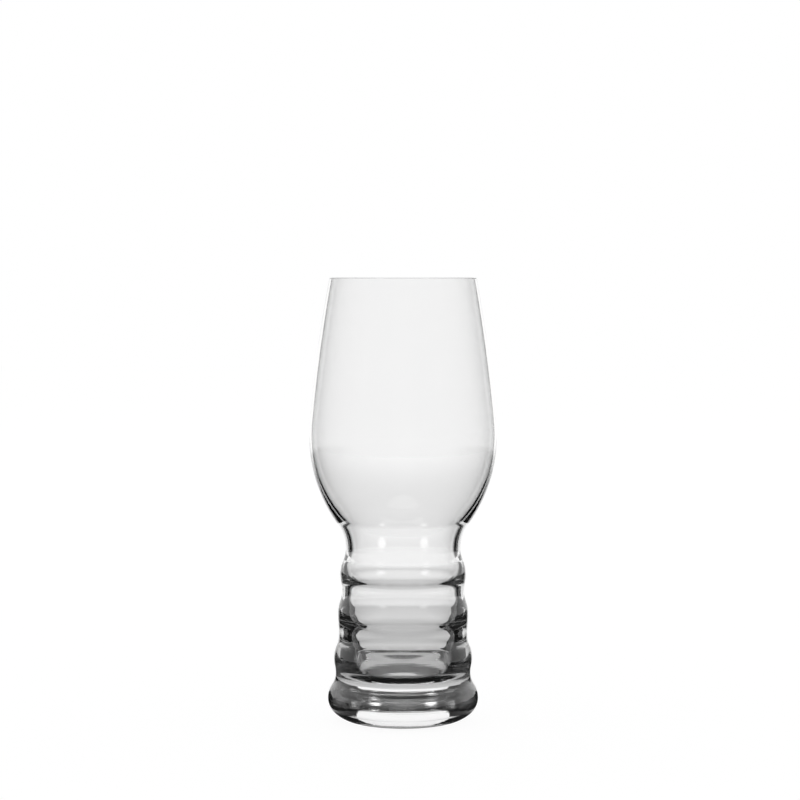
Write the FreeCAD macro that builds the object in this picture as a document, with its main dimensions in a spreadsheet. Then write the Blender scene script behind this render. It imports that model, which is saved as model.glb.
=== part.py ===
import FreeCAD, Part
import math
import os
from enum import IntEnum

import Sketcher

# A footed beer glass blown in one piece: a tall bowl over a stem with three ribs and a solid foot.
# The part is one solid of revolution about Z. It stands on z = 0, with its origin at the centre of the base.
# Lengths are in millimetres, and the one angle is in degrees.

SIZES = {
    # Outside radii, from the foot to the rim.
    "foot_radius": 32.2,
    "neck_radius": 28.9,
    "low_rib_radius": 29.6,
    "low_groove_radius": 27.5,
    "middle_rib_radius": 27.9,
    "upper_groove_radius": 26.2,
    "upper_rib_radius": 26.9,
    "waist_radius": 24.6,
    "bowl_radius": 40.1,
    "rim_radius": 31.5,
    # Each rise is the height from one ring of the outside to the next ring above it.
    "neck_rise": 10.8,
    "low_rib_rise": 6.4,
    "low_groove_rise": 10.2,
    "middle_rib_rise": 8.7,
    "upper_groove_rise": 10.3,
    "upper_rib_rise": 6.8,
    "waist_rise": 11.2,
    "bowl_rise": 48.2,
    "shoulder_rise": 5.6,
    "rim_rise": 67.5,
    # Foot: a small bend at its widest ring runs into a longer curve that flattens onto the table.
    "heel_bend_radius": 8.0,
    "underside_bend_radius": 15.6,
    "underside_angle": 41.3,
    "standing_ring_width": 4.5,
    "punt_depth": 1.2,
    # Bend of the outside where the stem flares into the bowl.
    "waist_bend_radius": 18.0,
    # Difference in radius between each ring of the outside and the same ring of the hollow.
    "rim_wall": 1.2,
    "bowl_wall": 1.15,
    "waist_wall": 2.7,
    "upper_rib_wall": 2.4,
    "upper_groove_wall": 3.5,
    "middle_rib_wall": 4.2,
    "low_groove_wall": 5.4,
    "low_rib_wall": 7.4,
    # Below the waist, each ring of the hollow lies this much higher than the same ring of the outside.
    "hollow_lift": 1.6,
    # Bend between the inside wall and the dished floor of the hollow, and the dish.
    "floor_bend_radius": 11.0,
    "floor_dish_radius": 100.0,
}

# Rings of the outside above the foot, bottom to top. Ribs, waist and bowl are where the wall stands upright.
RINGS = ["neck", "low_rib", "low_groove", "middle_rib", "upper_groove", "upper_rib", "waist", "bowl"]
# Rings that the hollow of the stem follows below the waist, top to bottom.
HOLLOW_RINGS = ["upper_rib", "upper_groove", "middle_rib", "low_groove", "low_rib"]


class Point(IntEnum):
    """Points of a sketch's arc or line."""

    START = 1
    END = 2
    CENTRE = 3


class Axis(IntEnum):
    """The sketch's own axes: along the table, and up the middle of the glass."""

    TABLE = -1
    TURNING = -2


ORIGIN = (Axis.TABLE, Point.START)


def make_sheet(document, sizes):
    """Writes each size in the sheet with its name as the alias."""
    sheet = document.addObject("Spreadsheet::Sheet", "Sizes")
    for row, (name, value) in enumerate(sizes.items(), start=1):
        sheet.set(f"A{row}", name)
        sheet.set(f"B{row}", str(value))
        sheet.setAlias(f"B{row}", name)
    document.recompute()
    return sheet


class Profile:
    """A chain of arcs and lines in a sketch. In the sketch, x is the radius and y is the height."""

    def __init__(self, sketch):
        self.sketch = sketch
        self.last = None

    def add_arc(self, centre, first, last, clockwise):
        """Adds an arc and returns its number with the point numbers of its first and last ends."""
        start, end = (last, first) if clockwise else (first, last)
        start_angle = math.atan2(start[1] - centre[1], start[0] - centre[0])
        end_angle = math.atan2(end[1] - centre[1], end[0] - centre[0])
        radius = math.dist(centre, first)
        circle = Part.Circle(FreeCAD.Vector(*centre, 0), FreeCAD.Vector(0, 0, 1), radius)
        number = self.sketch.addGeometry(Part.ArcOfCircle(circle, start_angle, end_angle))
        self.last = last
        ends = (Point.END, Point.START) if clockwise else (Point.START, Point.END)
        return (number, *ends)

    def add_line(self, first, last):
        """Adds a line and returns its number with the point numbers of its ends."""
        line = Part.LineSegment(FreeCAD.Vector(*first, 0), FreeCAD.Vector(*last, 0))
        number = self.sketch.addGeometry(line)
        self.last = last
        return (number, Point.START, Point.END)

    def bind(self, kind, *places, to):
        """Adds a dimension between places and ties it to an expression on the sheet."""
        values = [item for place in places for item in place]
        guess = self.sketch.evalExpression(to)
        guess = getattr(guess, "Value", guess)
        if kind == "Angle":
            guess = math.radians(guess)
        number = self.sketch.addConstraint(Sketcher.Constraint(kind, *values, guess))
        self.sketch.setExpression(f"Constraints[{number}]", to)

    def hold(self, kind, *places):
        """Adds a relation that has no size."""
        values = [item for place in places for item in place]
        self.sketch.addConstraint(Sketcher.Constraint(kind, *values))


def first_end(piece):
    return (piece[0], piece[1])


def last_end(piece):
    return (piece[0], piece[2])


def centre_of(piece):
    return (piece[0], Point.CENTRE)


def add_wave(profile, goal, first_radius=None):
    """Adds the two arcs from the chain's end to goal. Both ends of the wave stand upright.

    The arcs have one radius, unless the radius of the first one is given.
    """
    here = profile.last
    across = goal[0] - here[0]
    up = goal[1] - here[1]
    both_radii = (across**2 + up**2) / (2 * abs(across))
    radius = both_radii / 2 if first_radius is None else first_radius
    other_radius = both_radii - radius
    side = math.copysign(1, across)
    centre = (here[0] + side * radius, here[1])
    other_centre = (goal[0] - side * other_radius, goal[1])
    share = radius / both_radii
    middle = (
        centre[0] + share * (other_centre[0] - centre[0]),
        centre[1] + share * (other_centre[1] - centre[1]),
    )
    clockwise = across * up > 0
    first_arc = profile.add_arc(centre, here, middle, clockwise)
    second_arc = profile.add_arc(other_centre, middle, goal, not clockwise)
    profile.hold("Tangent", last_end(first_arc), first_end(second_arc))
    profile.hold("Horizontal", centre_of(second_arc), last_end(second_arc))
    if first_radius is None:
        profile.hold("Equal", first_arc[:1], second_arc[:1])
    return first_arc, second_arc


def height_of(ring, foot_height, size):
    """Height of a ring of the outside above the table."""
    below = RINGS[: RINGS.index(ring) + 1]
    return foot_height + sum(size[f"{name}_rise"] for name in below)


def side_centre(shoulder, shoulder_centre, lip_centre, reach):
    """Centre of the long side arc, which carries on from the shoulder and touches the lip's circle.

    Reach is the lip's radius where the side passes outside the lip, and minus that radius where it passes inside.
    """
    radius = math.dist(shoulder, shoulder_centre)
    inward = [(c - s) / radius for c, s in zip(shoulder_centre, shoulder)]
    to_lip = [c - s for c, s in zip(lip_centre, shoulder)]
    along = inward[0] * to_lip[0] + inward[1] * to_lip[1]
    side_radius = (math.hypot(*to_lip) ** 2 - reach**2) / (2 * (along - reach))
    return (shoulder[0] + inward[0] * side_radius, shoulder[1] + inward[1] * side_radius)


def touch_point(centre, lip_centre, lip_radius, reach):
    """Point where the side arc about centre runs into the lip's circle."""
    away = math.dist(centre, lip_centre)
    bends_out = centre[0] > lip_centre[0]
    sign = math.copysign(1, reach) * (-1 if bends_out else 1)
    return tuple(p + sign * lip_radius * (p - c) / away for p, c in zip(lip_centre, centre))


def draw_profile(sketch, size):
    """Draws half of the glass's section, from the punt round the outside and back down the hollow."""
    profile = Profile(sketch)

    # Foot, from the axis to its widest ring.
    bend = math.radians(size["underside_angle"])
    under = size["underside_bend_radius"]
    heel = size["heel_bend_radius"]
    heel_centre_height = under - (under - heel) * math.cos(bend)
    standing_radius = size["foot_radius"] - heel - (under - heel) * math.sin(bend)
    ring_radius = standing_radius - size["standing_ring_width"]
    punt = size["punt_depth"]
    punt_top = (0, punt)
    punt_centre = (0, (punt**2 - ring_radius**2) / (2 * punt))
    heel_centre = (size["foot_radius"] - heel, heel_centre_height)
    under_centre = (standing_radius, under)
    under_end = (
        standing_radius + under * math.sin(bend),
        under - under * math.cos(bend),
    )
    foot = (size["foot_radius"], heel_centre_height)
    punt_arc = profile.add_arc(punt_centre, punt_top, (ring_radius, 0), clockwise=True)
    ring = profile.add_line((ring_radius, 0), (standing_radius, 0))
    under_arc = profile.add_arc(under_centre, (standing_radius, 0), under_end, clockwise=False)
    heel_arc = profile.add_arc(heel_centre, under_end, foot, clockwise=False)
    profile.hold("PointOnObject", first_end(punt_arc), (Axis.TURNING,))
    profile.hold("PointOnObject", centre_of(punt_arc), (Axis.TURNING,))
    profile.hold("Coincident", last_end(punt_arc), first_end(ring))
    profile.hold("PointOnObject", first_end(ring), (Axis.TABLE,))
    profile.hold("Horizontal", ring[:1])
    profile.hold("Tangent", last_end(ring), first_end(under_arc))
    profile.hold("Tangent", last_end(under_arc), first_end(heel_arc))
    profile.hold("Horizontal", centre_of(heel_arc), last_end(heel_arc))
    profile.bind("DistanceY", ORIGIN, first_end(punt_arc), to="Sizes.punt_depth")
    profile.bind("DistanceX", first_end(ring), last_end(ring), to="Sizes.standing_ring_width")
    profile.bind("Radius", under_arc[:1], to="Sizes.underside_bend_radius")
    profile.bind("Angle", under_arc[:1], to="Sizes.underside_angle")
    profile.bind("Radius", heel_arc[:1], to="Sizes.heel_bend_radius")
    profile.bind("DistanceX", ORIGIN, last_end(heel_arc), to="Sizes.foot_radius")

    # Outside, from the foot over the ribs to the widest ring of the bowl.
    ring_ends = {}
    below = heel_arc
    for name in RINGS:
        goal = (size[f"{name}_radius"], height_of(name, foot[1], size))
        first_radius = size["waist_bend_radius"] if name == "bowl" else None
        first_arc, second_arc = add_wave(profile, goal, first_radius)
        profile.hold("Tangent", last_end(below), first_end(first_arc))
        profile.bind("DistanceX", ORIGIN, last_end(second_arc), to=f"Sizes.{name}_radius")
        profile.bind("DistanceY", last_end(below), last_end(second_arc), to=f"Sizes.{name}_rise")
        if name == "bowl":
            profile.bind("Radius", first_arc[:1], to="Sizes.waist_bend_radius")
        ring_ends[name] = last_end(second_arc)
        below = second_arc
    bowl_arc = below

    # Shoulder, long side, rounded lip, and the same side and shoulder on the inside.
    wall = size["bowl_wall"]
    bowl = profile.last
    shoulder_height = bowl[1] + size["shoulder_rise"]
    outside_centre = (bowl[0] - bowl_bend(size, 0), bowl[1])
    inside_centre = (bowl[0] - wall - bowl_bend(size, 1), bowl[1])
    outside_shoulder = point_at_height(outside_centre, bowl_bend(size, 0), shoulder_height)
    inside_shoulder = point_at_height(inside_centre, bowl_bend(size, 1), shoulder_height)
    lip = size["rim_wall"] / 2
    lip_centre = (size["rim_radius"] - lip, bowl[1] + size["rim_rise"] - lip)
    outer_side_centre = side_centre(outside_shoulder, outside_centre, lip_centre, lip)
    inner_side_centre = side_centre(inside_shoulder, inside_centre, lip_centre, -lip)
    lip_start = touch_point(outer_side_centre, lip_centre, lip, lip)
    lip_end = touch_point(inner_side_centre, lip_centre, lip, -lip)
    shoulder_arc = profile.add_arc(outside_centre, bowl, outside_shoulder, clockwise=False)
    flares = outer_side_centre[0] > lip_centre[0]
    outer_side = profile.add_arc(outer_side_centre, outside_shoulder, lip_start, clockwise=flares)
    lip_arc = profile.add_arc(lip_centre, lip_start, lip_end, clockwise=False)
    flares = inner_side_centre[0] > lip_centre[0]
    inner_side = profile.add_arc(inner_side_centre, lip_end, inside_shoulder, clockwise=not flares)
    inside_bowl = (bowl[0] - wall, bowl[1])
    inner_shoulder = profile.add_arc(inside_centre, inside_shoulder, inside_bowl, clockwise=True)
    profile.hold("Tangent", last_end(bowl_arc), first_end(shoulder_arc))
    profile.hold("Equal", bowl_arc[:1], shoulder_arc[:1])
    profile.hold("Tangent", last_end(shoulder_arc), first_end(outer_side))
    profile.hold("Tangent", last_end(outer_side), first_end(lip_arc))
    profile.hold("Tangent", last_end(lip_arc), first_end(inner_side))
    profile.hold("Tangent", last_end(inner_side), first_end(inner_shoulder))
    profile.hold("Horizontal", last_end(shoulder_arc), first_end(inner_shoulder))
    profile.bind("DistanceY", last_end(bowl_arc), last_end(shoulder_arc), to="Sizes.shoulder_rise")
    profile.bind("Radius", lip_arc[:1], to="Sizes.rim_wall / 2")
    profile.bind("DistanceX", ORIGIN, centre_of(lip_arc), to="Sizes.rim_radius - Sizes.rim_wall / 2")
    profile.bind(
        "DistanceY", last_end(bowl_arc), centre_of(lip_arc), to="Sizes.rim_rise - Sizes.rim_wall / 2"
    )

    # Inside of the bowl, down to the waist: both rings lie level with the outside's and one wall in.
    waist = (
        size["waist_radius"] - size["waist_wall"],
        height_of("waist", foot[1], size),
    )
    flare_arc, waist_arc = add_wave(profile, waist, bowl_bend(size, 1))
    profile.hold("Horizontal", centre_of(inner_shoulder), last_end(inner_shoulder))
    profile.hold("Tangent", last_end(inner_shoulder), first_end(flare_arc))
    profile.hold("Equal", inner_shoulder[:1], flare_arc[:1])
    profile.bind("Radius", waist_arc[:1], to="Sizes.waist_bend_radius + Sizes.waist_wall")
    for name, place in (("bowl", last_end(inner_shoulder)), ("waist", last_end(waist_arc))):
        profile.hold("Horizontal", ring_ends[name], place)
        profile.bind("DistanceX", place, ring_ends[name], to=f"Sizes.{name}_wall")

    # Hollow of the stem, ring by ring.
    above = waist_arc
    for name in HOLLOW_RINGS:
        goal = (
            size[f"{name}_radius"] - size[f"{name}_wall"],
            height_of(name, foot[1], size) + size["hollow_lift"],
        )
        first_arc, second_arc = add_wave(profile, goal)
        profile.hold("Tangent", last_end(above), first_end(first_arc))
        profile.bind("DistanceX", last_end(second_arc), ring_ends[name], to=f"Sizes.{name}_wall")
        profile.bind("DistanceY", ring_ends[name], last_end(second_arc), to="Sizes.hollow_lift")
        above = second_arc

    # Dished floor of the hollow and the axis, which closes the section.
    wall_foot = profile.last
    floor_bend = size["floor_bend_radius"]
    dish = size["floor_dish_radius"]
    bend_centre = (wall_foot[0] - floor_bend, wall_foot[1])
    dish_centre = (0, wall_foot[1] + math.sqrt((dish - floor_bend) ** 2 - bend_centre[0] ** 2))
    share = dish / (dish - floor_bend)
    floor_edge = (
        bend_centre[0] * share,
        dish_centre[1] + (bend_centre[1] - dish_centre[1]) * share,
    )
    floor_middle = (0, dish_centre[1] - dish)
    floor_arc = profile.add_arc(bend_centre, wall_foot, floor_edge, clockwise=True)
    floor = profile.add_arc(dish_centre, floor_edge, floor_middle, clockwise=True)
    axis = profile.add_line(floor_middle, punt_top)
    profile.hold("Tangent", last_end(above), first_end(floor_arc))
    profile.hold("Tangent", last_end(floor_arc), first_end(floor))
    profile.hold("PointOnObject", centre_of(floor), (Axis.TURNING,))
    profile.hold("PointOnObject", last_end(floor), (Axis.TURNING,))
    profile.hold("Coincident", last_end(floor), first_end(axis))
    profile.hold("Coincident", last_end(axis), first_end(punt_arc))
    profile.bind("Radius", floor_arc[:1], to="Sizes.floor_bend_radius")
    profile.bind("Radius", floor[:1], to="Sizes.floor_dish_radius")


def bowl_bend(size, inside):
    """Radius of the bowl's big bend: what the flare above the waist leaves of the wave's two radii."""
    across = size["bowl_radius"] - size["waist_radius"]
    across += inside * (size["waist_wall"] - size["bowl_wall"])
    both_radii = (across**2 + size["bowl_rise"] ** 2) / (2 * abs(across))
    return both_radii - size["waist_bend_radius"] - inside * size["waist_wall"]


def point_at_height(centre, radius, height):
    """Point on the outer side of a circle at a height above its centre."""
    return (centre[0] + math.sqrt(radius**2 - (height - centre[1]) ** 2), height)


def check(document, body):
    """Stops if any object failed or the solid isn't sound."""
    for item in document.Objects:
        if "Invalid" in item.State or "Error" in item.State:
            raise RuntimeError(f"{item.Name} failed: {item.State}")
    if body.Shape.isNull() or not body.Shape.isValid() or len(body.Shape.Solids) != 1:
        raise RuntimeError("the glass isn't one sound solid")


def origin_plane(body, role):
    return [item for item in body.Origin.OriginFeatures if item.Role == role][0]


document = FreeCAD.newDocument("beer_glass")
sheet = make_sheet(document, SIZES)
size = {name: float(sheet.get(name)) for name in SIZES}

glass = document.addObject("PartDesign::Body", "glass")
glass.Label = "glass"
section = glass.newObject("Sketcher::SketchObject", "section")
section.AttachmentSupport = [(origin_plane(glass, "XZ_Plane"), "")]
section.MapMode = "FlatFace"
document.recompute()
draw_profile(section, size)
document.recompute()
turned = glass.newObject("PartDesign::Revolution", "turned_glass")
turned.Profile = section
turned.ReferenceAxis = (section, ["V_Axis"])
turned.Angle = 360
glass.Tip = turned
document.recompute()
check(document, glass)

os.makedirs("parts", exist_ok=True)
glass.Shape.exportStep(f"parts/{glass.Label}.step")
print(f"glass volume {glass.Shape.Volume / 1000:.1f} cm3")
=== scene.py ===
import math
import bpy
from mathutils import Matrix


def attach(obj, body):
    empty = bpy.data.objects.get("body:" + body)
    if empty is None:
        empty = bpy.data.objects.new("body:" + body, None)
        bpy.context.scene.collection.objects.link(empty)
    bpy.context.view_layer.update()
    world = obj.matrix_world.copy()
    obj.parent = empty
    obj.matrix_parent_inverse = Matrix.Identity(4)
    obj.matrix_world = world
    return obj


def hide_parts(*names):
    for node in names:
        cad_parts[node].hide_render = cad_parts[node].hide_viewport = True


bl_info = {
    "name": "Beer Glass",
    "version": (1, 0, 0),
    "blender": (4, 5, 0),
    "location": "3D View > Sidebar > Beer Glass",
    "description": "Turns a footed beer glass with three ribs and sets it in a small photo studio",
    "category": "Add Mesh",
}

import bpy
from mathutils import Vector

# Every length is in metres. The glass stands on z = 0, with the centre of its base at the origin.

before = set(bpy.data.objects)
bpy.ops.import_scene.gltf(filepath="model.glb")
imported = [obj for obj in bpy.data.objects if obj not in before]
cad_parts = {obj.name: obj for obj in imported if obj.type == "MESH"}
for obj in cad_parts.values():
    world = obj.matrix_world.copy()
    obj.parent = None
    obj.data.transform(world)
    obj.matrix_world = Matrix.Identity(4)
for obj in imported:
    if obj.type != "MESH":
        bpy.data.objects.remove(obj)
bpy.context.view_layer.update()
GLASS_NODE = "glass"

# Rings of the outside above the foot, bottom to top.
RINGS = ["neck", "low_rib", "low_groove", "middle_rib", "upper_groove", "upper_rib", "waist", "bowl"]
# Rings that the hollow of the stem follows below the waist, top to bottom.
HOLLOW_RINGS = ["upper_rib", "upper_groove", "middle_rib", "low_groove", "low_rib"]

# Grains of each noise in a metre, along X, Y and Z.
SMUDGE_GRAIN = (45.0, 45.0, 45.0)
SCRATCH_GRAIN = (900.0, 900.0, 900.0)
WAVE_GRAIN = (20.0, 20.0, 110.0)
RING_GRAIN = (25.0, 25.0, 1600.0)

# Grey level of the table's cloth, and how far the table reaches each way.
TABLE_TONE = 0.88
TABLE_REACH = 4.0
# Flats in each stretch of the tent's round wall, and round its top.
WALL_STEPS = 48
LIGHT_BOUNCES = 24
# A ray has passed two surfaces of the glass once it is in the hollow, and more in the far wall.
HOLLOW_PASSES = 2.5


def length(name, description, default):
    return bpy.props.FloatProperty(
        name=name, description=description, default=default, min=0.0, precision=5, unit="LENGTH"
    )


def angle(name, description, degrees):
    return bpy.props.FloatProperty(
        name=name, description=description, default=math.radians(degrees), unit="ROTATION"
    )


def share(name, description, default):
    return bpy.props.FloatProperty(
        name=name, description=description, default=default, min=0.0, soft_max=1.0, precision=3
    )


class GlassSizes(bpy.types.PropertyGroup):
    """Sizes of the glass. Radii are of the outside, and each wall is measured square to the axis."""

    foot_radius: length("Foot", "Widest radius of the foot", 0.0322)
    neck_radius: length("Neck", "Radius of the neck above the foot", 0.0289)
    low_rib_radius: length("Low rib", "Radius over the lowest rib", 0.0296)
    low_groove_radius: length("Low groove", "Radius between the two lower ribs", 0.0275)
    middle_rib_radius: length("Middle rib", "Radius over the middle rib", 0.0279)
    upper_groove_radius: length("Upper groove", "Radius between the two upper ribs", 0.0262)
    upper_rib_radius: length("Upper rib", "Radius over the top rib", 0.0269)
    waist_radius: length("Waist", "Narrowest radius, under the bowl", 0.0246)
    bowl_radius: length("Bowl", "Widest radius of the bowl", 0.0401)
    rim_radius: length("Rim", "Radius of the drinking rim", 0.0315)

    neck_rise: length("Neck rise", "Height from the foot's widest ring to the neck", 0.0108)
    low_rib_rise: length("Low rib rise", "Height from the neck to the lowest rib", 0.0064)
    low_groove_rise: length("Low groove rise", "Height from the lowest rib to its groove", 0.0102)
    middle_rib_rise: length("Middle rib rise", "Height from the groove to the middle rib", 0.0087)
    upper_groove_rise: length("Upper groove rise", "Height from the middle rib to its groove", 0.0103)
    upper_rib_rise: length("Upper rib rise", "Height from the groove to the top rib", 0.0068)
    waist_rise: length("Waist rise", "Height from the top rib to the waist", 0.0112)
    bowl_rise: length("Bowl rise", "Height from the waist to the bowl's widest ring", 0.0482)
    shoulder_rise: length("Shoulder rise", "Height that the bowl's bend goes on for", 0.0056)
    rim_rise: length("Rim rise", "Height from the bowl's widest ring to the rim", 0.0675)

    heel_bend_radius: length("Heel bend", "Bend at the foot's widest ring", 0.0080)
    underside_bend_radius: length("Underside bend", "Bend from the heel down to the table", 0.0156)
    underside_angle: angle("Underside turn", "How far the underside bend turns", 41.3)
    standing_ring_width: length("Standing ring", "Width of the flat ring it stands on", 0.0045)
    punt_depth: length("Punt", "Depth of the hollow under the base", 0.0012)
    waist_bend_radius: length("Waist bend", "Bend of the outside where the bowl flares", 0.0180)

    rim_wall: length("Rim wall", "Thickness of the rounded lip", 0.0012)
    bowl_wall: length("Bowl wall", "Wall at the bowl's widest ring", 0.00115)
    waist_wall: length("Waist wall", "Wall at the waist", 0.0027)
    upper_rib_wall: length("Upper rib wall", "Wall at the top rib", 0.0024)
    upper_groove_wall: length("Upper groove wall", "Wall at the upper groove", 0.0035)
    middle_rib_wall: length("Middle rib wall", "Wall at the middle rib", 0.0042)
    low_groove_wall: length("Low groove wall", "Wall at the low groove", 0.0054)
    low_rib_wall: length("Low rib wall", "Wall at the lowest rib", 0.0074)
    hollow_lift: length("Hollow lift", "How much higher the hollow's rings lie than the outside's", 0.0016)
    floor_bend_radius: length("Floor bend", "Bend from the wall to the inside floor", 0.0110)
    floor_dish_radius: length("Floor dish", "Bend of the dished inside floor", 0.1000)

    segments: bpy.props.IntProperty(
        name="Segments", description="Flats round the turned glass", default=192, min=12, max=256
    )
    bend_step: angle("Bend step", "Most that one face of the section turns", 2.4)
    run_step: length("Run step", "Longest face along the section", 0.0030)


class GlassFinish(bpy.types.PropertyGroup):
    """Finish of the clear glass."""

    tint: bpy.props.FloatVectorProperty(
        name="Tint", description="Colour that the clear glass passes", subtype="COLOR", size=4,
        default=(1.0, 1.0, 1.0, 1.0), min=0.0, max=1.0,
    )
    ior: bpy.props.FloatProperty(
        name="IOR", description="Index of refraction of soda glass", default=1.52, min=1.0, max=2.0
    )
    polish: share("Polish", "Roughness of the fire-polished surface", 0.002)
    smudge: share("Smudge", "Roughness that wiping leaves in patches", 0.010)
    scuff: share("Scuff", "Roughness of the worn standing ring", 0.30)
    scuff_height: length("Scuff height", "Height up to which the standing ring is worn", 0.00035)
    ring_depth: length("Ring depth", "Depth of the fine rings pressed round the foot", 0.00004)
    ring_top: length("Ring top", "Height up to which the fine rings reach", 0.040)
    ring_inside: length("Ring inside", "Radius inside which the glass has no fine rings", 0.0255)
    ring_outside: length("Ring outside", "Radius from which the fine rings have their full depth", 0.0275)
    ripple: length("Ripple", "Depth of the faint waves that moulding leaves", 0.00001)


class StudioSettings(bpy.types.PropertyGroup):
    """The camera, the white window behind the glass and the dark tent round it."""

    camera_distance: length("Camera distance", "From the glass's axis to the lens", 1.0326)
    camera_height: length("Camera height", "Height of the lens above the table", 0.190)
    camera_pitch: angle("Camera pitch", "How far the camera looks down", 2.894)
    camera_turn: angle("Camera turn", "How far the camera looks to the left of the glass", 0.0727)
    lens: bpy.props.FloatProperty(
        name="Lens", description="Focal length on a 36 mm sensor", default=108.86, unit="CAMERA"
    )
    tent_radius: length("Tent radius", "Radius of the tent and of the window in it", 1.15)
    tent_height: length("Tent height", "Height of the tent and of the window", 1.25)
    window_angle: angle("Window angle", "Half the angle that the window fills behind the glass", 27.0)
    table_gap: length("Table gap", "Half the width of bare table beside the foot", 0.036)
    cloth_gap: length("Cloth gap", "Half the gap between the cloths behind the foot", 0.030)
    cloth_depth: length("Cloth depth", "How far behind the axis the gap begins to widen", 0.065)
    cloth_spread: angle("Cloth spread", "How fast each cloth's edge turns from the gap", 33.0)
    cloth_lift: length("Cloth lift", "Height of the table cloths over the table", 0.0004)
    mirror_dark: length("Mirror dark", "Distance up to which the polish mirrors the cloth dark", 0.03)
    mirror_white: length("Mirror white", "Distance from which it mirrors the cloth in front white", 0.2)
    mirror_front: length("Mirror front", "How far in front it mirrors the cloth fully white", 0.46)
    mirror_far: length("Mirror far", "Distance from which it mirrors the cloth behind white too", 0.80)
    tent_side: share("Tent side", "Brightness of the tent's sides", 0.006)
    tent_front: share("Tent front", "Brightness of the tent behind the camera", 0.1)
    tent_top: share("Tent top", "Brightness of the tent's top", 0.05)
    window_white: share("Window white", "Brightness of the window", 1.0)
    table_white: share("Table white", "How white the table is made for the camera", 0.90)
    # Painted shade: seen through the glass, the table is painted darker near the foot and near black under
    # it
    table_in_glass: share("Table in glass", "How white the table is made in the glass", 0.68)
    table_near: length("Table near", "Distance at which the table in the glass begins to turn white", 0.045)
    table_middle: length("Table middle", "Distance at which it is as white as set", 0.35)
    table_far: length("Table far", "Distance from which it runs up to full white at the window", 0.55)
    # Painted shadow under the foot, seen only through the glass
    foot_shade: length("Foot shade", "Radius of the dark table under the foot", 0.030)
    foot_clear: length("Foot clear", "Distance at which that shade in the glass ends", 0.035)
    fill: share("Fill", "Strength of the soft light from all round", 0.60)
    softbox_angle: angle("Softbox angle", "From straight behind the glass round to each softbox", 122.0)
    softbox_height: length("Softbox height", "Height of the softboxes' centres", 0.072)
    softbox_distance: length("Softbox distance", "From the glass's axis to each softbox", 0.060)
    softbox_half_width: length("Softbox half width", "Half the width of each tall softbox", 0.015)
    softbox_half_height: length("Softbox half height", "Half the height of each tall softbox", 0.034)
    softbox_strength: share("Softbox strength", "Brightness in the middle of each softbox", 3.2)


class Wire:
    """An output of a shader node. Sums, products and the like of wires and numbers add Math nodes."""

    def __init__(self, shader, socket):
        self.shader = shader
        self.socket = socket

    def math(self, operation, first, second):
        return self.shader.add("ShaderNodeMath", {"operation": operation}, {0: first, 1: second})

    def __add__(self, other):
        return self.math("ADD", self, other)

    def __radd__(self, other):
        return self.math("ADD", other, self)

    def __sub__(self, other):
        return self.math("SUBTRACT", self, other)

    def __rsub__(self, other):
        return self.math("SUBTRACT", other, self)

    def __mul__(self, other):
        return self.math("MULTIPLY", self, other)

    def __rmul__(self, other):
        return self.math("MULTIPLY", other, self)

    def above(self, edge):
        return self.math("GREATER_THAN", self, edge)

    def below(self, edge):
        return self.math("LESS_THAN", self, edge)

    def at_least(self, other):
        return self.math("MAXIMUM", self, other)

    def sibling(self, name):
        """Another output of the same node."""
        return Wire(self.shader, self.socket.node.outputs[name])


class Shader:
    """A node tree that is filled by calls to add."""

    def __init__(self, owner):
        owner.use_nodes = True
        self.tree = owner.node_tree
        self.tree.nodes.clear()

    def add(self, kind, settings=None, sockets=None, output=0):
        """Adds a node: its settings first, then the values or links of its sockets."""
        node = self.tree.nodes.new(kind)
        for name, value in (settings or {}).items():
            setattr(node, name, value)
        for name, value in (sockets or {}).items():
            if isinstance(value, Wire):
                self.tree.links.new(value.socket, node.inputs[name])
            else:
                node.inputs[name].default_value = value
        return Wire(self, node.outputs[output]) if len(node.outputs) else node


def new_material(name):
    material = bpy.data.materials.new(name)
    return material, Shader(material)


def object_place(shader):
    """The point that is shaded, in the object's own space."""
    return shader.add("ShaderNodeTexCoord", output="Object")


def stretch(shader, place, scales):
    """The point with its X, Y and Z each scaled."""
    return shader.add("ShaderNodeVectorMath", {"operation": "MULTIPLY"}, {0: place, 1: scales})


def distance_from_centre(shader, place):
    return shader.add("ShaderNodeVectorMath", {"operation": "LENGTH"}, {0: place}, output="Value")


def noise(shader, place, grain, detail, roughness):
    """Even random patches, with so many of them in a metre along X, Y and Z."""
    return shader.add(
        "ShaderNodeTexNoise",
        {},
        {"Vector": stretch(shader, place, grain), "Scale": 1.0, "Detail": detail, "Roughness": roughness},
    )


def glow(shader, strength):
    """Even white light of its own, where a strength of one is white."""
    return shader.add("ShaderNodeEmission", {}, {"Strength": strength})


def mix(shader, share_of_second, first, second):
    return shader.add("ShaderNodeMixShader", {}, {0: share_of_second, 1: first, 2: second})


def ramp(shader, value, start, end):
    """Runs smoothly from zero where the value is start to one where it is end."""
    return shader.add(
        "ShaderNodeMapRange",
        {"interpolation_type": "SMOOTHSTEP"},
        {"Value": value, "From Min": start, "From Max": end},
    )


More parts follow.
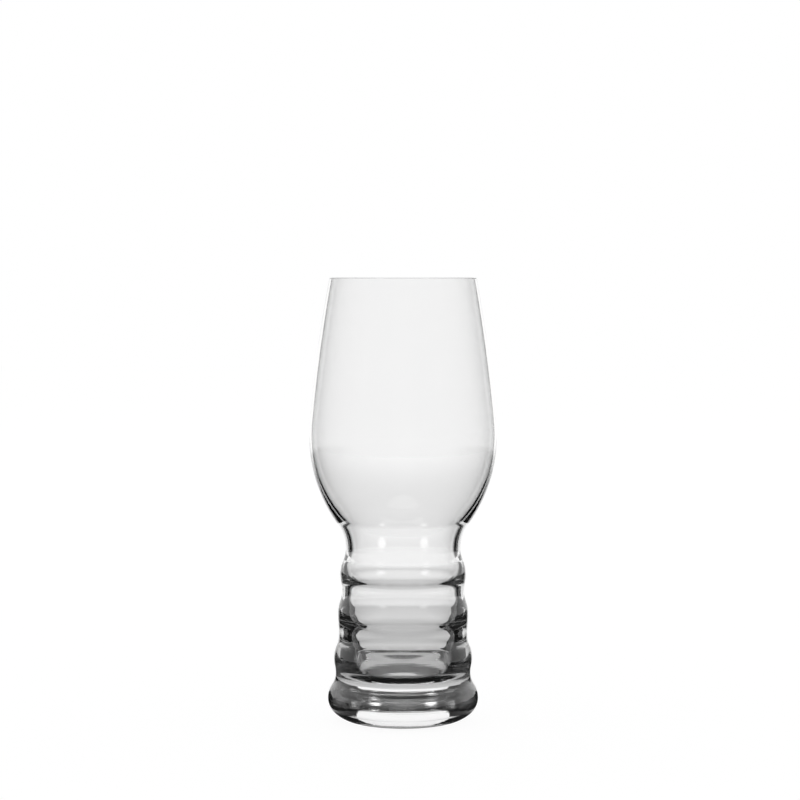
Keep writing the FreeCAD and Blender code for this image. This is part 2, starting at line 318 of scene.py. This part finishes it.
def clear_glass(finish):
    """Clear soda glass: polished, with faint waves, fine rings in the foot, smudges and a scuffed base."""
    material, shader = new_material("clear_glass")
    place = object_place(shader)
    height = shader.add("ShaderNodeSeparateXYZ", {}, {0: place}, output="Z")
    radius = distance_from_centre(shader, stretch(shader, place, (1.0, 1.0, 0.0)))
    smudges = noise(shader, place, SMUDGE_GRAIN, detail=3.0, roughness=0.6)
    scratches = noise(shader, place, SCRATCH_GRAIN, detail=4.0, roughness=0.7)
    worn = height.below(finish.scuff_height) * scratches
    roughness = finish.polish + smudges * finish.smudge + worn * finish.scuff
    waves = noise(shader, place, WAVE_GRAIN, detail=1.0, roughness=0.4)
    rings = noise(shader, place, RING_GRAIN, detail=2.0, roughness=0.6)
    low_down = ramp(shader, height, finish.ring_top, finish.ring_top / 2)
    on_outside = ramp(shader, radius, finish.ring_inside, finish.ring_outside)
    relief = waves * finish.ripple + rings * finish.ring_depth * low_down * on_outside
    bump = shader.add("ShaderNodeBump", {}, {"Strength": 1.0, "Distance": 1.0, "Height": relief})
    surface = shader.add(
        "ShaderNodeBsdfPrincipled",
        {},
        {
            "Base Color": finish.tint,
            "Roughness": roughness,
            "IOR": finish.ior,
            "Transmission Weight": 1.0,
            "Normal": bump,
        },
    )
    shader.add("ShaderNodeOutputMaterial", {}, {"Surface": surface})
    return material


class Section:
    """Half of the glass's section, as points at (radius, height), with the way the glass faces at each.

    It runs from the axis under the base, round the outside and back down the hollow to the axis.
    """

    def __init__(self, start, bend_step, run_step):
        self.points = [Vector(start)]
        self.facings = [Vector((0.0, -1.0))]
        self.bend_step = bend_step
        self.run_step = run_step

    @property
    def here(self):
        return self.points[-1]

    def join(self, points, facings):
        """Adds points. Where two stretches meet, the glass faces midway between them."""
        if len(self.points) > 1:
            self.facings[-1] = (self.facings[-1] + facings[0]).normalized()
        self.points += points[1:]
        self.facings += facings[1:]

    def arc(self, centre, goal, clockwise=False):
        centre = Vector(centre)
        start = self.here - centre
        end = Vector(goal) - centre
        start_angle = math.atan2(start.y, start.x)
        sweep = (math.atan2(end.y, end.x) - start_angle) % math.tau
        if clockwise:
            sweep -= math.tau
        steps = math.ceil(max(abs(sweep) / self.bend_step, abs(sweep) * start.length / self.run_step))
        out = -1.0 if clockwise else 1.0
        rays = []
        for step in range(steps + 1):
            ray_angle = start_angle + sweep * step / steps
            rays.append(Vector((math.cos(ray_angle), math.sin(ray_angle))))
        self.join([centre + start.length * ray for ray in rays], [out * ray for ray in rays])

    def line(self, goal):
        start = self.here
        way = Vector(goal) - start
        steps = math.ceil(way.length / self.run_step)
        facing = Vector((way.y, -way.x)).normalized()
        self.join([start + way * step / steps for step in range(steps + 1)], [facing] * (steps + 1))

    def wave(self, goal, first_radius=None):
        """Two arcs to goal that stand upright at both ends: of one radius, unless the first's is given."""
        across = goal[0] - self.here.x
        up = goal[1] - self.here.y
        both_radii = (across**2 + up**2) / (2 * abs(across))
        radius = both_radii / 2 if first_radius is None else first_radius
        side = math.copysign(1.0, across)
        centre = Vector((self.here.x + side * radius, self.here.y))
        other_centre = Vector((goal[0] - side * (both_radii - radius), goal[1]))
        clockwise = across * up > 0
        self.arc(centre, centre.lerp(other_centre, radius / both_radii), clockwise)
        self.arc(other_centre, goal, not clockwise)


def radius_of(sizes, ring):
    return getattr(sizes, f"{ring}_radius")


def wall_of(sizes, ring):
    return getattr(sizes, f"{ring}_wall")


def bowl_bend(sizes, inside):
    """Radius of the bowl's big bend: what the bend at the waist leaves of the flare's two radii."""
    across = sizes.bowl_radius - sizes.waist_radius + inside * (sizes.waist_wall - sizes.bowl_wall)
    both_radii = (across**2 + sizes.bowl_rise**2) / (2 * abs(across))
    return both_radii - sizes.waist_bend_radius - inside * sizes.waist_wall


def side_centre(shoulder, shoulder_centre, lip_centre, reach):
    """Centre of the long side arc, which carries on from the shoulder and touches the lip's circle.

    Reach is the lip's radius where the side passes outside the lip, and minus that where it passes inside.
    """
    inward = (shoulder_centre - shoulder).normalized()
    to_lip = lip_centre - shoulder
    side_radius = (to_lip.length_squared - reach**2) / (2 * (inward.dot(to_lip) - reach))
    return shoulder + inward * side_radius


def glass_section(sizes):
    bend = sizes.underside_angle
    under = sizes.underside_bend_radius
    heel = sizes.heel_bend_radius
    foot = Vector((sizes.foot_radius, under - (under - heel) * math.cos(bend)))
    standing_radius = sizes.foot_radius - heel - (under - heel) * math.sin(bend)
    ring_radius = standing_radius - sizes.standing_ring_width
    punt = sizes.punt_depth
    under_end = (standing_radius + under * math.sin(bend), under - under * math.cos(bend))

    section = Section((0.0, punt), sizes.bend_step, sizes.run_step)
    section.arc((0.0, (punt**2 - ring_radius**2) / (2 * punt)), (ring_radius, 0.0), clockwise=True)
    section.line((standing_radius, 0.0))
    section.arc((standing_radius, under), under_end)
    section.arc((foot.x - heel, foot.y), foot)

    ring_heights = {}
    height = foot.y
    for ring in RINGS:
        height += getattr(sizes, f"{ring}_rise")
        ring_heights[ring] = height
        first_radius = sizes.waist_bend_radius if ring == "bowl" else None
        section.wave((radius_of(sizes, ring), height), first_radius)

    bowl = section.here
    inside_bowl = bowl - Vector((sizes.bowl_wall, 0.0))
    outside_bend = bowl_bend(sizes, 0)
    inside_bend = bowl_bend(sizes, 1)
    outside_centre = bowl - Vector((outside_bend, 0.0))
    inside_centre = inside_bowl - Vector((inside_bend, 0.0))
    rise = sizes.shoulder_rise
    outside_shoulder = outside_centre + Vector((math.sqrt(outside_bend**2 - rise**2), rise))
    inside_shoulder = inside_centre + Vector((math.sqrt(inside_bend**2 - rise**2), rise))
    lip = sizes.rim_wall / 2
    lip_centre = Vector((sizes.rim_radius - lip, bowl.y + sizes.rim_rise - lip))
    outer_centre = side_centre(outside_shoulder, outside_centre, lip_centre, lip)
    inner_centre = side_centre(inside_shoulder, inside_centre, lip_centre, -lip)
    lip_start = lip_centre + lip * (lip_centre - outer_centre).normalized()
    lip_end = lip_centre - lip * (lip_centre - inner_centre).normalized()
    section.arc(outside_centre, outside_shoulder)
    section.arc(outer_centre, lip_start)
    section.arc(lip_centre, lip_end)
    section.arc(inner_centre, inside_shoulder, clockwise=True)
    section.arc(inside_centre, inside_bowl, clockwise=True)

    section.wave((sizes.waist_radius - sizes.waist_wall, ring_heights["waist"]), inside_bend)
    for ring in HOLLOW_RINGS:
        inside_radius = radius_of(sizes, ring) - wall_of(sizes, ring)
        section.wave((inside_radius, ring_heights[ring] + sizes.hollow_lift))
    floor_bend = sizes.floor_bend_radius
    dish = sizes.floor_dish_radius
    bend_centre = section.here - Vector((floor_bend, 0.0))
    dish_rise = math.sqrt((dish - floor_bend) ** 2 - bend_centre.x**2)
    dish_centre = Vector((0.0, bend_centre.y + dish_rise))
    floor_edge = dish_centre.lerp(bend_centre, dish / (dish - floor_bend))
    section.arc(bend_centre, floor_edge, clockwise=True)
    section.arc(dish_centre, (0.0, dish_centre.y - dish), clockwise=True)
    section.facings[-1] = Vector((0.0, 1.0))
    return section


def turned_mesh(name, section, segments):
    """A closed mesh turned from the section, with a pole on the axis at each end."""
    mesh = bpy.data.meshes.new(name)
    corners = []
    facings = []
    turns = [math.tau * segment / segments for segment in range(segments)]
    off_axis = list(zip(section.points, section.facings))[1:-1]
    for point, facing in off_axis:
        for turn in turns:
            along = (math.cos(turn), math.sin(turn))
            corners.append((point.x * along[0], point.x * along[1], point.y))
            facings.append((facing.x * along[0], facing.x * along[1], facing.y))
    bottom = len(corners)
    top = bottom + 1
    corners += [(0.0, 0.0, section.points[0].y), (0.0, 0.0, section.points[-1].y)]
    facings += [(0.0, 0.0, -1.0), (0.0, 0.0, 1.0)]
    last = (len(off_axis) - 1) * segments
    faces = []
    for here in range(segments):
        there = (here + 1) % segments
        faces.append((bottom, there, here))
        faces.append((last + here, last + there, top))
        for ring in range(0, last, segments):
            above = ring + segments
            faces.append((ring + here, ring + there, above + there, above + here))
    mesh.from_pydata(corners, [], faces)
    mesh.shade_smooth()
    mesh.normals_split_custom_set_from_vertices(facings)
    mesh.validate()
    return mesh


class TurnBeerGlass(bpy.types.Operator):
    """Turns the beer glass from its section and gives it clear glass"""

    bl_idname = "beer_glass.turn"
    bl_label = "Turn Beer Glass"

    def execute(self, context):
        sizes = context.scene.glass_sizes
        mesh = turned_mesh("beer_glass", glass_section(sizes), sizes.segments)
        mesh.materials.append(clear_glass(context.scene.glass_finish))
        glass = bpy.data.objects.new("beer_glass", mesh)
        context.scene.collection.objects.link(glass)
        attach(glass, "root")
        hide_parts(GLASS_NODE)
        return {"FINISHED"}


def lit_cloth(name, strength):
    """Cloth that shines evenly."""
    material, shader = new_material(name)
    shader.add("ShaderNodeOutputMaterial", {}, {"Surface": glow(shader, strength)})
    return material


def tent_cloth(studio):
    """Dark cloth, lighter behind the camera. The polish mirrors it as white in front and far out."""
    material, shader = new_material("tent_cloth")
    place = object_place(shader)
    distance = distance_from_centre(shader, place)
    forward = shader.add("ShaderNodeSeparateXYZ", {}, {0: place}, output="Y") * -1.0
    in_front = ramp(shader, forward, 0.0, studio.mirror_front)
    in_front = in_front * ramp(shader, distance, studio.mirror_dark, studio.mirror_white)
    far_out = ramp(shader, distance, studio.mirror_far, studio.tent_radius)
    is_mirrored = shader.add("ShaderNodeLightPath", output="Is Reflection Ray")
    toward_camera = (forward * (1.0 / studio.tent_radius)).at_least(0.0)
    cloth = mix(shader, toward_camera, glow(shader, studio.tent_side), glow(shader, studio.tent_front))
    surface = mix(shader, is_mirrored * in_front.at_least(far_out), cloth, glow(shader, 1.0))
    shader.add("ShaderNodeOutputMaterial", {}, {"Surface": surface})
    return material


def white_rays(shader):
    """Two masks: one for rays from the camera, and one for rays that the glass reflects or passes."""
    camera = shader.add("ShaderNodeLightPath", output="Is Camera Ray")
    in_glass = camera.sibling("Is Glossy Ray").at_least(camera.sibling("Is Transmission Ray"))
    return camera, in_glass * (1 - camera)


def table_top(studio):
    """White table. It is made whiter for the camera, and keeps the glass's shadow. In the glass it has
    painted shade: darker near the foot, near black under it, and whiter out towards the window.
    """
    material, shader = new_material("table_top")
    camera, in_glass = white_rays(shader)
    distance = distance_from_centre(shader, object_place(shader))
    # Painted shade: in the glass the table turns white only away from the foot, so it is darker near the
    # glass
    near = ramp(shader, distance, studio.table_near, studio.table_middle)
    far = ramp(shader, distance, studio.table_far, studio.tent_radius)
    white_in_glass = near * studio.table_in_glass + far * (studio.table_white - studio.table_in_glass)
    white = camera * studio.table_white + in_glass * white_in_glass
    cloth = shader.add("ShaderNodeBsdfDiffuse", {}, {"Color": (TABLE_TONE, TABLE_TONE, TABLE_TONE, 1.0)})
    # With this much shine in the mix, the open table comes out white for the camera.
    open_level = TABLE_TONE * studio.fill
    shine_level = (1.0 - (1.0 - studio.table_white) * open_level) / studio.table_white
    lit = mix(shader, white, cloth, glow(shader, shine_level))
    # Painted shadow: in the glass the table under the foot is painted near black
    painted_foot_shade = in_glass * ramp(shader, distance, studio.foot_clear, studio.foot_shade)
    surface = mix(shader, painted_foot_shade, lit, glow(shader, studio.tent_side))
    shader.add("ShaderNodeOutputMaterial", {}, {"Surface": surface})
    return material


def stage_object(context, name, corners, faces, material, turntable):
    """A piece of the set, which stands on the turntable."""
    mesh = bpy.data.meshes.new(name)
    mesh.from_pydata(corners, [], faces)
    mesh.materials.append(material)
    card = bpy.data.objects.new(name, mesh)
    context.scene.collection.objects.link(card)
    card.parent = turntable
    return card


def only_in_glass(card, mirrored):
    """The card is seen only through the glass and, where it is mirrored, in the glass's polish."""
    card.visible_glossy = mirrored
    card.visible_camera = False
    card.visible_diffuse = False
    card.visible_shadow = False
    card.visible_volume_scatter = False


def around(radius, turn, height):
    """A point at an angle from straight behind the glass."""
    return (radius * math.sin(turn), radius * math.cos(turn), height)


def curved_wall(context, name, studio, first, last, material, turntable):
    """A stretch of the tent's round wall, between two angles from straight behind the glass."""
    corners = []
    faces = []
    for step in range(WALL_STEPS + 1):
        turn = first + (last - first) * step / WALL_STEPS
        corners.append(around(studio.tent_radius, turn, 0.0))
        corners.append(around(studio.tent_radius, turn, studio.tent_height))
        if step:
            corner = 2 * step
            faces.append((corner - 2, corner, corner + 1, corner - 1))
    return stage_object(context, name, corners, faces, material, turntable)


def table_cloths(context, studio, material, turntable):
    """Dark cloth on the table round the foot, open towards the window."""
    gap = studio.table_gap
    reach = studio.tent_radius
    window_slope = math.tan(studio.window_angle)
    edge_slope = math.tan(studio.cloth_spread)
    knee_depth = (edge_slope * studio.cloth_depth - studio.cloth_gap) / (edge_slope - window_slope)
    far = around(reach, studio.window_angle, 0.0)
    half = [
        (gap, -reach),
        (reach, -reach),
        (reach, far[1]),
        far[:2],
        (knee_depth * window_slope, knee_depth),
        (studio.cloth_gap, studio.cloth_depth),
        (studio.cloth_gap, gap),
        (gap, gap),
    ]
    corners = [(side * x, y, studio.cloth_lift) for side in (-1, 1) for x, y in half]
    front = [(-gap, -gap), (gap, -gap), (gap, -reach), (-gap, -reach)]
    corners += [(x, y, studio.cloth_lift) for x, y in front]
    count = len(half)
    faces = [tuple(range(count)), tuple(range(count, 2 * count)), tuple(range(2 * count, 2 * count + 4))]
    return stage_object(context, "table_cloths", corners, faces, material, turntable)


def softbox_cloth(studio):
    """Lit cloth that fades to its rim. Only rays that have passed three surfaces of the glass see it."""
    material, shader = new_material("softbox_cloth")
    passes = shader.add("ShaderNodeLightPath", output="Transmission Depth")
    to_rim = (1.0 / studio.softbox_half_width, 1.0, 1.0 / studio.softbox_half_height)
    reach = distance_from_centre(shader, stretch(shader, object_place(shader), to_rim))
    lit_share = (1.0 - reach * reach).at_least(0.0) * passes.above(HOLLOW_PASSES)
    clear = shader.add("ShaderNodeBsdfTransparent")
    surface = mix(shader, lit_share, clear, glow(shader, studio.softbox_strength))
    shader.add("ShaderNodeOutputMaterial", {}, {"Surface": surface})
    return material


class SetGlassStudio(bpy.types.Operator):
    """Sets the camera, the table, the window, the tent and the softboxes round the glass"""

    bl_idname = "beer_glass.set_studio"
    bl_label = "Set Glass Studio"

    def execute(self, context):
        studio = context.scene.glass_studio
        context.scene.view_settings.view_transform = "Standard"
        for kind in ("max", "glossy", "transmission"):
            setattr(context.scene.cycles, f"{kind}_bounces", LIGHT_BOUNCES)
        camera = self.place_camera(context, studio)
        turntable = self.place_turntable(context, camera)
        self.place_table(context, studio, turntable)
        self.place_tent(context, studio, turntable)
        self.place_softboxes(context, studio, turntable)
        self.light_room(context, studio)
        return {"FINISHED"}

    def place_camera(self, context, studio):
        camera = bpy.data.objects.new("camera", bpy.data.cameras.new("camera"))
        context.scene.collection.objects.link(camera)
        camera.data.lens = studio.lens
        camera.location = (0.0, -studio.camera_distance, studio.camera_height)
        camera.rotation_euler = (math.pi / 2 - studio.camera_pitch, 0.0, studio.camera_turn)
        context.scene.camera = camera
        return camera

    def place_turntable(self, context, camera):
        """The set stands on a turntable that keeps its window behind the glass."""
        turntable = bpy.data.objects.new("studio_turntable", None)
        context.scene.collection.objects.link(turntable)
        facing = turntable.constraints.new("LOCKED_TRACK")
        facing.target = camera
        facing.track_axis = "TRACK_NEGATIVE_Y"
        facing.lock_axis = "LOCK_Z"
        return turntable

    def place_table(self, context, studio, turntable):
        reach = TABLE_REACH
        corners = [(-reach, -reach, 0.0), (reach, -reach, 0.0), (reach, reach, 0.0), (-reach, reach, 0.0)]
        stage_object(context, "table", corners, [(0, 1, 2, 3)], table_top(studio), turntable)

    def place_tent(self, context, studio, turntable):
        half = studio.window_angle
        white_cloth = lit_cloth("window_cloth", studio.window_white)
        window = curved_wall(context, "window", studio, -half, half, white_cloth, turntable)
        window.visible_camera = False
        window.visible_shadow = False
        dark_cloth = tent_cloth(studio)
        wall = curved_wall(context, "tent_wall", studio, half, math.tau - half, dark_cloth, turntable)
        only_in_glass(wall, mirrored=False)
        only_in_glass(table_cloths(context, studio, dark_cloth, turntable), mirrored=True)
        top = [
            around(studio.tent_radius, math.tau * step / WALL_STEPS, studio.tent_height)
            for step in range(WALL_STEPS)
        ]
        faces = [tuple(range(WALL_STEPS))]
        top_cloth = lit_cloth("top_cloth", studio.tent_top)
        cover = stage_object(context, "tent_top", top, faces, top_cloth, turntable)
        only_in_glass(cover, mirrored=False)

    def place_softboxes(self, context, studio, turntable):
        cloth = softbox_cloth(studio)
        wide = studio.softbox_half_width
        tall = studio.softbox_half_height
        corners = [(-wide, 0.0, -tall), (wide, 0.0, -tall), (wide, 0.0, tall), (-wide, 0.0, tall)]
        for name, side in (("softbox_left", -1), ("softbox_right", 1)):
            turn = side * studio.softbox_angle
            softbox = stage_object(context, name, corners, [(0, 1, 2, 3)], cloth, turntable)
            softbox.location = around(studio.softbox_distance, turn, studio.softbox_height)
            softbox.rotation_euler = (0.0, 0.0, -turn)
            only_in_glass(softbox, mirrored=False)

    def light_room(self, context, studio):
        """Soft light from all round. It is white to the camera and in the glass."""
        world = bpy.data.worlds.new("studio_room")
        context.scene.world = world
        shader = Shader(world)
        camera, in_glass = white_rays(shader)
        soft_light = self.room_light(shader, studio.fill)
        surface = mix(shader, camera + in_glass, soft_light, self.room_light(shader, 1.0))
        shader.add("ShaderNodeOutputWorld", {}, {"Surface": surface})

    def room_light(self, shader, strength):
        return shader.add("ShaderNodeBackground", {}, {"Color": (1.0, 1.0, 1.0, 1.0), "Strength": strength})


class BeerGlassPanel(bpy.types.Panel):
    """Lists the steps and sizes of the beer glass and its studio"""

    bl_idname = "VIEW3D_PT_beer_glass"
    bl_label = "Beer Glass"
    bl_space_type = "VIEW_3D"
    bl_region_type = "UI"
    bl_category = "Beer Glass"

    def draw(self, context):
        for operator, group in (
            (TurnBeerGlass, context.scene.glass_sizes),
            (None, context.scene.glass_finish),
            (SetGlassStudio, context.scene.glass_studio),
        ):
            box = self.layout.box()
            if operator:
                box.operator(operator.bl_idname)
            for name in group.__annotations__:
                box.prop(group, name)


CLASSES = [GlassSizes, GlassFinish, StudioSettings, TurnBeerGlass, SetGlassStudio, BeerGlassPanel]
GROUPS = {"glass_sizes": GlassSizes, "glass_finish": GlassFinish, "glass_studio": StudioSettings}


def register():
    for item in CLASSES:
        bpy.utils.register_class(item)
    for name, group in GROUPS.items():
        setattr(bpy.types.Scene, name, bpy.props.PointerProperty(type=group))


def unregister():
    for name in GROUPS:
        delattr(bpy.types.Scene, name)
    for item in reversed(CLASSES):
        bpy.utils.unregister_class(item)


def main():
    register()
    bpy.ops.beer_glass.turn()
    bpy.ops.beer_glass.set_studio()


if __name__ == "__main__":
    main()
